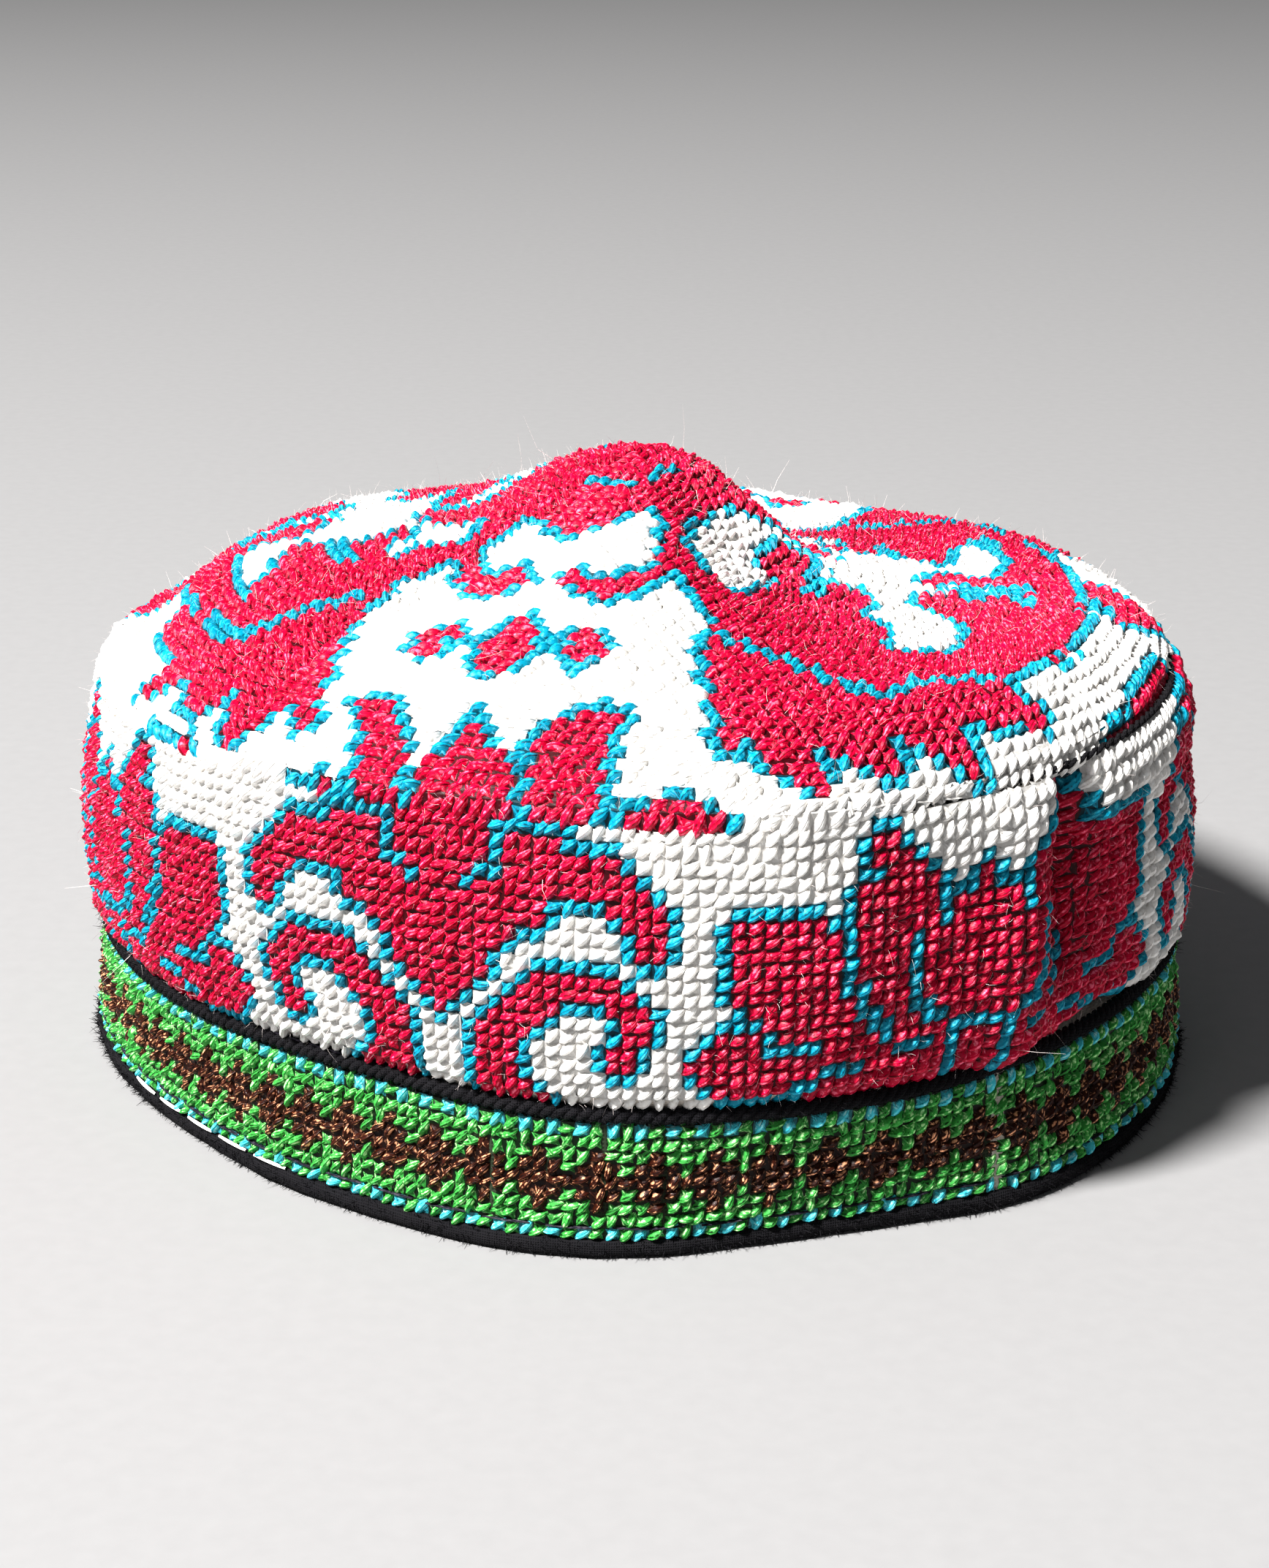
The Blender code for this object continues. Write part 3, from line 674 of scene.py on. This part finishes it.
def stitch_piece(name, corners, threads, mirrored, materials, rng, half_width=0.39, unevenness=0.065):
    """All the stitches of a group of cells, joined in one object."""
    upper = leg_grid(width=half_width, **UPPER_LEG)
    lower = leg_grid(**LOWER_LEG)
    ground = ground_grid()
    # The ground under each stitch is painted dark, as shade between the stitches
    ground_shade = np.array([THREAD_LOOKS[thread][3] for thread in THREADS])[threads]
    layers = []
    start = 0
    cell_tone = np.clip(rng.normal(1.0, 0.10, len(corners)), 0.7, 1.3)
    # Layers and their brightness: the lower legs and the ground are painted darker as shade; cell brightness
    # is random
    parts = ((upper, False, 1.0, unevenness), (lower, True, LOWER_SHADE, LOWER_UNEVENNESS),
             (ground, False, ground_shade, 0.0))
    for grid, flip, shade, wobble in parts:
        laid = lay_legs(corners, mirrored ^ flip, grid, rng, wobble)
        size = grid[0].size
        cell_faces = grid_faces(*grid[0].shape)
        starts = start + np.arange(len(corners)) * size
        faces = (starts[:, None, None] + cell_faces[None]).reshape(-1, 4)
        local = np.stack((grid[3].ravel(), grid[4].ravel()), axis=1)
        tones_and_shade = (cell_tone * shade)[:, None] * grid[5].ravel()
        layers.append((laid.reshape(-1, 3), faces, np.repeat(threads, len(cell_faces)),
                       np.tile(local, (len(corners), 1)), tones_and_shade.ravel()))
        start += len(corners) * size
    points, faces, slots, uvs, tones_and_shade = [np.concatenate(column) for column in zip(*layers)]
    return make_mesh(name, points, faces, materials, slots, uvs, tones_and_shade)


def stitch_halves(name, corners, threads, mirrored, materials, rng):
    """The stitches of a large group of cells as two objects."""
    half = len(corners) // 2
    for number, part in ((1, slice(0, half)), (2, slice(half, None))):
        piece = stitch_piece("%s_%d" % (name, number), corners[part], threads[part], mirrored[part],
                             materials, rng)
        dress(piece)


def add_node(tree, kind, inputs=(), **values):
    """A node with some of its settings and inputs."""
    node = tree.nodes.new(kind)
    for key, value in values.items():
        setattr(node, key, value)
    for socket, value in inputs:
        if isinstance(value, bpy.types.NodeSocket):
            tree.links.new(value, node.inputs[socket])
        else:
            node.inputs[socket].default_value = value
    return node


def combine(tree, operation, *values):
    """The result of a maths node."""
    return add_node(tree, "ShaderNodeMath", list(enumerate(values)), operation=operation).outputs[0]


def stretch(tree, value, low, high, new_low, new_high):
    """A value moved from one range to another."""
    inputs = [(0, value), (1, low), (2, high), (3, new_low), (4, new_high)]
    return add_node(tree, "ShaderNodeMapRange", inputs).outputs[0]


def object_texture(tree, kind, inputs, **values):
    """A texture that is fixed to the object."""
    where = add_node(tree, "ShaderNodeTexCoord")
    return add_node(tree, kind, [("Vector", where.outputs["Object"])] + inputs, **values)


def mix_colours(tree, level, first, second):
    """A colour between two, by a level."""
    inputs = [(0, level), (6, first), (7, second)]
    return add_node(tree, "ShaderNodeMix", inputs, data_type="RGBA").outputs[2]


def raise_surface(tree, shader, height, strength, distance):
    """Fine relief of a shaded surface."""
    inputs = [("Height", height), ("Strength", strength), ("Distance", distance)]
    tree.links.new(add_node(tree, "ShaderNodeBump", inputs).outputs[0], shader.inputs["Normal"])


def new_material(name, roughness, specular=0.3):
    made = bpy.data.materials.new(name)
    made.use_nodes = True
    shader = made.node_tree.nodes["Principled BSDF"]
    shader.inputs["Roughness"].default_value = roughness
    shader.inputs["Specular IOR Level"].default_value = specular
    return made, made.node_tree, shader


def thread_material(name, thread):
    """Stranded cotton: strands along each leg, painted shade between them, painted highlights, brightness per
    stitch.
    """
    made, tree, shader = new_material(name, 0.4, 0.12)
    gap, main_colour, painted_glint = THREAD_LOOKS[thread][:3]
    uv = add_node(tree, "ShaderNodeUVMap", uv_map="thread")
    parts = add_node(tree, "ShaderNodeSeparateXYZ", [(0, uv.outputs[0])])
    twist = combine(tree, "MULTIPLY", parts.outputs[0], STRAND_TWIST)
    place = combine(tree, "MULTIPLY", parts.outputs[1], STRANDS)
    turn = combine(tree, "MULTIPLY", combine(tree, "ADD", place, twist), 2 * math.pi)
    strand = stretch(tree, combine(tree, "SINE", turn), -1.0, 0.5, 0.0, 1.0)
    # Per-point brightness from the mesh: random per stitch, with painted shade at leg edges, lower legs and
    # ground
    tone_and_shade = add_node(tree, "ShaderNodeAttribute", attribute_name="tone_and_shade")
    noise = object_texture(tree, "ShaderNodeTexNoise", [("Scale", FLUFF_SCALE), ("Detail", 2.0)])
    fluff = noise.outputs[0]
    mix_level = combine(tree, "ADD", combine(tree, "MULTIPLY", strand, STRAND_SHOW), fluff)
    # The ramp paints shade with the gap colour where strands and fluff are low, and a highlight where they
    # are high
    mixed = add_node(tree, "ShaderNodeValToRGB", [(0, mix_level)])
    ramp = mixed.color_ramp
    ramp.elements[0].position = GAP_AT
    ramp.elements[0].color = gap + (1.0,)
    ramp.elements[1].position = PAINTED_GLINT_AT
    ramp.elements[1].color = painted_glint + (1.0,)
    for position in MAIN_AT:
        ramp.elements.new(position).color = main_colour + (1.0,)
    level = stretch(tree, fluff, 0.3, 0.7, 0.90, 1.05)
    shade = combine(tree, "MULTIPLY", tone_and_shade.outputs["Fac"], level)
    final = add_node(tree, "ShaderNodeVectorMath", [(0, mixed.outputs[0])], operation="SCALE")
    tree.links.new(shade, final.inputs["Scale"])
    tree.links.new(final.outputs[0], shader.inputs["Base Color"])
    raise_surface(tree, shader, combine(tree, "ADD", strand, fluff), 0.6, 0.00015)
    return made


def cloth_material(name):
    """Plain woven cloth: two sets of fine ribs, painted darker between them as shade, and some random
    mottling.
    """
    light, dark, scale, roughness, strength = CLOTH_LOOKS[name]
    made, tree, shader = new_material(name, roughness, 0.1)
    wave = [("Scale", scale), ("Distortion", 1.5), ("Detail", 2.0)]
    ribs = []
    for direction in ("X", "Z"):
        rib = object_texture(tree, "ShaderNodeTexWave", wave, bands_direction=direction)
        ribs.append(rib.outputs["Fac"])
    weave = combine(tree, "MAXIMUM", *ribs)
    mottle = object_texture(tree, "ShaderNodeTexNoise", [("Scale", 160.0), ("Detail", 5.0)])
    # Painted shade between the ribs, times random mottling, sets how dark the cloth is
    level = combine(tree, "MULTIPLY", weave, mottle.outputs[0])
    tree.links.new(mix_colours(tree, level, dark + (1.0,), light + (1.0,)), shader.inputs["Base Color"])
    raise_surface(tree, shader, level, strength, 0.0003)
    return made


def under_cloth(name, node, material):
    """The cloth under the stitches: the CAD solid's own form, shaded smoothly and with a woven face."""
    made = bpy.data.objects.new(name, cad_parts[node].data.copy())
    bpy.context.scene.collection.objects.link(made)
    made.data.materials.clear()
    made.data.materials.append(material)
    made.data.shade_smooth()
    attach(made, "root")
    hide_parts(node)
    return made


def skin_normals(skin):
    """Outward normals of a skin of points, one for each azimuth and height."""
    around = np.roll(skin, -1, axis=0) - np.roll(skin, 1, axis=0)
    along = np.gradient(skin, axis=1)
    normal = np.cross(around, along)
    outward = (normal[..., :2] * (skin[..., :2] - CENTRE)).sum(axis=-1) + 0.02 * normal[..., 2]
    normal *= np.sign(outward)[..., None]
    length = np.linalg.norm(normal, axis=-1, keepdims=True)
    upright = np.broadcast_to(np.array((0.0, 0.0, 1.0)), normal.shape)
    return np.where(length > 1e-9, normal / np.maximum(length, 1e-12), upright)


def cloth_shell(name, node, skin, relief, material):
    """Padded cloth under the stitches: a closed shell that follows a skin and its relief."""
    steps = skin.shape[1]
    azimuths, shares = np.meshgrid(np.arange(360.0), np.linspace(0.0, 1.0, steps), indexing="ij")
    normal = skin_normals(skin)
    face = skin + normal * (relief(azimuths, shares) - CLOTH_SINK)[..., None]
    lining = face - normal * CLOTH_THICKNESS
    sheet = np.concatenate((face, lining[:, ::-1]), axis=1)
    count = sheet.shape[1]
    here = (np.arange(360) * count)[:, None] + np.arange(count)[None]
    there = np.roll(here, -1, axis=0)
    faces = np.stack((here, there, np.roll(there, -1, axis=1), np.roll(here, -1, axis=1)), axis=-1)
    # At the peak the sheet closes in a point, so it has no edge between its face and its lining there
    if np.linalg.norm(face[0, 0] - face[180, 0]) < 0.01:
        faces = np.delete(faces, count - 1, axis=1)
    faces = faces.reshape(-1, 4)
    # A skin that runs downwards has its faces the other way round
    if skin[0, 0, 2] > skin[0, -1, 2]:
        faces = faces[:, ::-1]
    made = make_mesh(name, sheet.reshape(-1, 3), faces, [material])
    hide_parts(node)
    return dress(made)


def ring_path(node, height, inset, count):
    """Points round the outside of a CAD node at one height, taken in by inset, and their directions."""
    skin = upright_skin(node, height, height + 0.0002, steps=2)
    azimuth = np.arange(count) * 360.0 / count
    points = read_skin(skin, azimuth, np.zeros(count))
    angles = np.radians(azimuth)
    out = np.stack((np.sin(angles), -np.cos(angles), np.zeros(count)), axis=1)
    return points - out * inset, out


def tube_faces(count, sides):
    """Corner numbers of the faces of a closed tube of count rings."""
    here = (np.arange(count) * sides)[:, None] + np.arange(sides)[None]
    there = np.roll(here, -1, axis=0)
    return np.stack((here, np.roll(here, -1, axis=1), np.roll(there, -1, axis=1), there),
                    axis=-1).reshape(-1, 4)[:, ::-1]


def twisted_cord(name, path, out, ply, lay, strand, turns, sides, material):
    """A cord of twisted strands along a closed path."""
    count = len(path)
    up = np.array((0.0, 0.0, 1.0))
    angle = 2 * math.pi * np.arange(sides) / sides
    points = []
    faces = []
    for index in range(ply):
        phase = 2 * math.pi * (turns * np.arange(count) / count + index / ply)
        middle = path + out * (lay * np.cos(phase))[:, None] + up * (lay * np.sin(phase))[:, None]
        tube = (middle[:, None, :] + out[:, None, :] * (strand * np.cos(angle))[None, :, None]
                + up * (strand * np.sin(angle))[None, :, None])
        points.append(tube.reshape(-1, 3))
        faces.append(tube_faces(count, sides) + index * count * sides)
    return make_mesh(name, np.concatenate(points), np.concatenate(faces), [material])


def bound_edge(name, path, out, half_width, half_height, material, rng, sides=14):
    """A bound edge along a closed path: a soft strip folded under, with a flat foot."""
    count = len(path)
    angle = 2 * math.pi * np.arange(sides) / sides
    across = np.sign(np.cos(angle)) * np.abs(np.cos(angle)) ** 0.7
    upward = np.sign(np.sin(angle)) * np.abs(np.sin(angle)) ** 0.7
    fullness = 1.0 + smooth_around(rng.normal(0.0, 0.10, (count, sides)), 9)
    reach = half_width * across * fullness
    height = half_height * (1.0 + np.where(upward > 0.0, upward * fullness, upward))
    points = path[:, None, :] + out[:, None, :] * reach[..., None]
    points[..., 2] = height
    faces = tube_faces(count, sides)
    return make_mesh(name, points.reshape(-1, 3), faces, [material])


def fuzz(name, roots, normals, length, width, material, rng, bend=0.6):
    """Short loose fibres standing off a surface, as thin bent ribbons."""
    count = len(roots)
    random = rng.normal(0.0, 1.0, (count, 3))
    lean = normals + random * bend
    lean /= np.linalg.norm(lean, axis=1, keepdims=True)
    reach = length * rng.uniform(0.4, 1.3, (count, 1))
    side = np.cross(lean, rng.normal(0.0, 1.0, (count, 3)))
    side /= np.linalg.norm(side, axis=1, keepdims=True)
    curl = rng.normal(0.0, 0.35, (count, 3)) * reach
    middle = roots + lean * reach * 0.5 + curl * 0.25
    tip = roots + lean * reach + curl
    points = np.stack((roots - side * width, roots + side * width, middle + side * width * 0.8,
                       middle - side * width * 0.8, tip + side * width * 0.3, tip - side * width * 0.3),
                      axis=1).reshape(-1, 3)
    points[:, 2] = np.maximum(points[:, 2], 0.0001)
    start = np.arange(count)[:, None] * 6
    faces = np.concatenate((start + np.array([[0, 1, 2, 3]]), start + np.array([[3, 2, 4, 5]])))
    return make_mesh(name, points, faces, [material])


def dress(piece):
    """Hand a piece to the cap's body."""
    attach(piece, "root")
    return piece


def running_thread(name, node, slot, material, start, end, height, dash, gap, width, lift, rng):
    """A line of running stitches on the outside of a node, from one azimuth to another."""
    skin = upright_skin(node, height - 0.0005, height + 0.0005, steps=2)
    radius = np.linalg.norm(skin[:, 0, :2] - CENTRE, axis=1).mean()
    step = math.degrees((dash + gap) / radius)
    left = np.arange(start, end, step)
    right = left + math.degrees(dash / radius)
    half = width / 0.001
    low = np.full(len(left), 0.5 - half)
    high = np.full(len(left), 0.5 + half)
    slant = np.clip(rng.normal(0.0, 0.08, len(left)), -0.2, 0.2)
    corners = np.stack([read_skin(skin, left, low - slant), read_skin(skin, right, low + slant),
                        read_skin(skin, left, high - slant), read_skin(skin, right, high + slant)], axis=1)
    t, s = np.meshgrid(np.linspace(0, 1, 7), np.linspace(0, 1, 5), indexing="ij")
    height_over = 0.24 * np.sin(math.pi * np.clip(t, 0.02, 0.98)) ** 0.3 * np.sin(math.pi * s)
    grid = (t, s, height_over + lift)
    laid = lay_legs(corners, np.zeros(len(left), bool), grid, rng, 0.0)
    starts = np.arange(len(left)) * t.size
    faces = (starts[:, None, None] + grid_faces(*t.shape)[None]).reshape(-1, 4)[:, ::-1]
    local = np.tile(np.stack((t.ravel(), s.ravel()), axis=1), (len(left), 1))
    made = make_mesh(name, laid.reshape(-1, 3), faces, [material], uv=local, tone_and_shade=np.ones(len(local)))
    return dress(made)


def make_floor():
    """A wide, plain, pale floor."""
    bpy.ops.mesh.primitive_plane_add(size=16.0, location=(0.0, 0.0, 0.0))
    floor = bpy.context.object
    floor.name = "floor"
    made, tree, shader = new_material("floor_paper", 0.8)
    grain = object_texture(tree, "ShaderNodeTexNoise", [("Scale", 300.0)])
    tree.links.new(mix_colours(tree, grain.outputs[0], *FLOOR_SHADES), shader.inputs["Base Color"])
    floor.data.materials.append(made)


def add_area_light(name, place, size, power, colour):
    data = bpy.data.lights.new(name, "AREA")
    data.shape = "DISK"
    data.size = size
    data.energy = power
    data.color = colour
    light = bpy.data.objects.new(name, data)
    light.location = place
    light.rotation_euler = (Vector(LAMP_AIM) - Vector(place)).to_track_quat("-Z", "Y").to_euler()
    bpy.context.scene.collection.objects.link(light)


def make_light():
    """Studio light: a lamp high on the left, a weak one in front and a pale surround."""
    for name, lamp in LAMPS.items():
        add_area_light(name, *lamp)
    world = bpy.data.worlds.new("surround")
    world.use_nodes = True
    world.node_tree.nodes["Background"].inputs[0].default_value = SURROUND_COLOUR
    world.node_tree.nodes["Background"].inputs[1].default_value = SURROUND_STRENGTH
    bpy.context.scene.world = world
    bpy.context.scene.view_settings.view_transform = "Standard"


def make_camera():
    pitch = math.radians(CAMERA_PITCH)
    data = bpy.data.cameras.new("photo_camera")
    data.sensor_fit = "VERTICAL"
    data.sensor_height = SENSOR_MM
    data.lens = CAMERA_FOCAL_PX * SENSOR_MM / PHOTO_HEIGHT_PX
    data.clip_start = 0.01
    camera = bpy.data.objects.new("photo_camera", data)
    camera.location = (CENTRE[0], CENTRE[1] - CAMERA_DISTANCE * math.cos(pitch),
                       CAMERA_AIM_HEIGHT + CAMERA_DISTANCE * math.sin(pitch))
    camera.rotation_euler = (math.pi / 2 - pitch, 0.0, 0.0)
    bpy.context.scene.collection.objects.link(camera)
    bpy.context.scene.camera = camera


def make_stitching(rng, skin, length):
    """The cloth and the stitches of the crown, the wall and the band."""
    threads = [thread_material(name + "_thread", name) for name in THREADS]
    pale = cloth_material("pale_cloth")
    cloth_shell("crown_cloth", "crown", skin[:, ::CROWN_CLOTH_SKIP], crown_relief, pale)
    corners, kinds, leaning = crown_cells(skin, length)
    stitch_halves("crown_stitches", corners, kinds, leaning, threads, rng)
    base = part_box("side_wall")[0][2]
    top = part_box("side_wall")[1][2]
    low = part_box("black_braid")[1][2] - WALL_OVERLAP
    wall = upright_skin("side_wall", base, top, WALL_CLOTH_STEPS)
    cloth_shell("wall_cloth", "side_wall", wall, foot_relief, pale)
    corners, kinds = wall_cells(upright_skin("side_wall", low, top))
    straight = np.zeros(len(kinds), bool)
    stitch_halves("wall_stitches", corners, kinds, straight, threads, rng)
    corners, kinds = band_cells()
    straight = np.zeros(len(kinds), bool)
    band = stitch_piece("band_stitches", corners, kinds, straight, threads, rng, half_width=0.34,
                        unevenness=0.09)
    dress(band)


def make_trims(rng):
    """The twisted braid, the bound rim, their fuzz, a dark seam cord as painted shade, and the running
    threads.
    """
    black = cloth_material("black_fluff")
    braid_low, braid_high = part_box("black_braid")
    middle = (braid_low[2] + braid_high[2]) / 2.0
    size = braid_high[2] - braid_low[2]
    path, out = ring_path("black_braid", middle, size * 0.5, BRAID_POINTS)
    cord = twisted_cord("braid_cord", path, out, ply=3, lay=size * 0.22, strand=size * 0.30, turns=115,
                        sides=7, material=black)
    dress(cord)
    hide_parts("black_braid")
    hairs, hair_length, hair_width = BRAID_FUZZ
    azimuth = rng.uniform(0.0, 360.0, hairs)
    angle = rng.uniform(-0.5 * math.pi, 0.5 * math.pi, hairs)
    turn = np.radians(azimuth)
    flat = np.stack((np.sin(turn), -np.cos(turn), np.zeros(hairs)), axis=1)
    normal = flat * np.cos(angle)[:, None] + np.array((0.0, 0.0, 1.0)) * np.sin(angle)[:, None]
    index = (azimuth / 360.0 * len(path)).astype(int) % len(path)
    roots = path[index] + normal * size * 0.42
    dress(fuzz("braid_fuzz", roots, normal, hair_length, hair_width, black, rng))

    path, out = ring_path("rim_binding", RIM_LOOK_HEIGHT, RIM_HALF_WIDTH, RING_POINTS)
    rim = bound_edge("rim_cloth", path, out, RIM_HALF_WIDTH, RIM_HEIGHT / 2.0, black, rng)
    dress(rim)
    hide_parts("rim_binding")
    hairs, hair_length, hair_width = RIM_FUZZ
    index = rng.integers(0, len(path), hairs)
    angle = rng.uniform(-0.4 * math.pi, 0.5 * math.pi, hairs)
    normal = out[index] * np.cos(angle)[:, None] + np.array((0.0, 0.0, 1.0)) * np.sin(angle)[:, None]
    roots = path[index] + out[index] * (RIM_HALF_WIDTH * 0.95 * np.cos(angle))[:, None]
    roots[:, 2] = RIM_HEIGHT * 0.5 * (1.0 + 0.95 * np.sin(angle))
    dress(fuzz("rim_fuzz", roots, normal, hair_length, hair_width, black, rng))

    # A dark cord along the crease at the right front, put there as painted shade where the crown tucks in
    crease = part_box("side_wall")[1][2]
    path, out = ring_path("side_wall", crease - 0.0006, 0.0, RING_POINTS)
    shown = swell(np.arange(RING_POINTS) * 360.0 / RING_POINTS, *SEAM_SHADOW_CORD) ** 0.5
    path = path + out * (SEAM_SHADOW_CORD_OUT * shown - SEAM_SHADOW_CORD_HIDDEN)[:, None]
    path[:, 2] = crease + 0.0002 + SEAM_SHADOW_CORD_UP * shown
    cord = twisted_cord("seam_shadow_cord", path, out, ply=2, lay=0.0003, strand=0.0004, turns=120, sides=5,
                        material=black)
    dress(cord)

    cottons = {"white": thread_material("white_cotton", "white"),
               "ink": thread_material("black_cotton", "ink")}
    for name, node, slot, thread, *sizes in RUNNING_THREADS:
        running_thread(name, node, slot, cottons[thread], *sizes, rng)


def make_fibres(rng, crown):
    """Fine loose fibres of the thread over the crown and the wall, and some long stray ones."""
    pale = cloth_material("pale_fibre")
    wall = upright_skin("side_wall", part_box("black_braid")[1][2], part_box("side_wall")[1][2])
    # Where they grow: the skin and its relief, least share and how the shares bunch, and relative length
    places = (("crown", crown, crown_relief, 0.02, 0.6, 1.0), ("wall", wall, wall_relief, 0.0, 1.0, 0.7))
    for kind, count, length, width in FIBRES:
        azimuth = rng.uniform(0.0, 360.0, count)
        for place, skin, relief, least, bunching, relative_length in places:
            share = rng.uniform(least, 1.0, count) ** bunching
            normal = read_skin(skin_normals(skin), azimuth, share)
            roots = read_skin(skin, azimuth, share)
            roots = roots + normal * (relief(azimuth, share)[:, None] + STITCH * 0.3)
            piece = fuzz("%s_%s_fibres" % (kind, place), roots, normal, length * relative_length, width, pale,
                         rng, bend=1.1)
            dress(piece)


def main():
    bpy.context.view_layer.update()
    rng = np.random.default_rng(SEED)
    make_camera()
    make_light()
    make_floor()
    under_cloth("band_cloth", "green_band", cloth_material("dark_cloth"))
    skin, length = crown_skin()
    make_stitching(rng, skin, length)
    make_trims(rng)
    make_fibres(rng, skin)


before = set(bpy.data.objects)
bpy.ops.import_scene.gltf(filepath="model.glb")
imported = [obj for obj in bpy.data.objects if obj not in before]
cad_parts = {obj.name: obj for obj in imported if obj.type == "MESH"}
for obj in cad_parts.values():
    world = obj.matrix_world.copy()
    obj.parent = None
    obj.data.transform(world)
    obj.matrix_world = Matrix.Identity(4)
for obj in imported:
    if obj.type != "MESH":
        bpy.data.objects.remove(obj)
main()
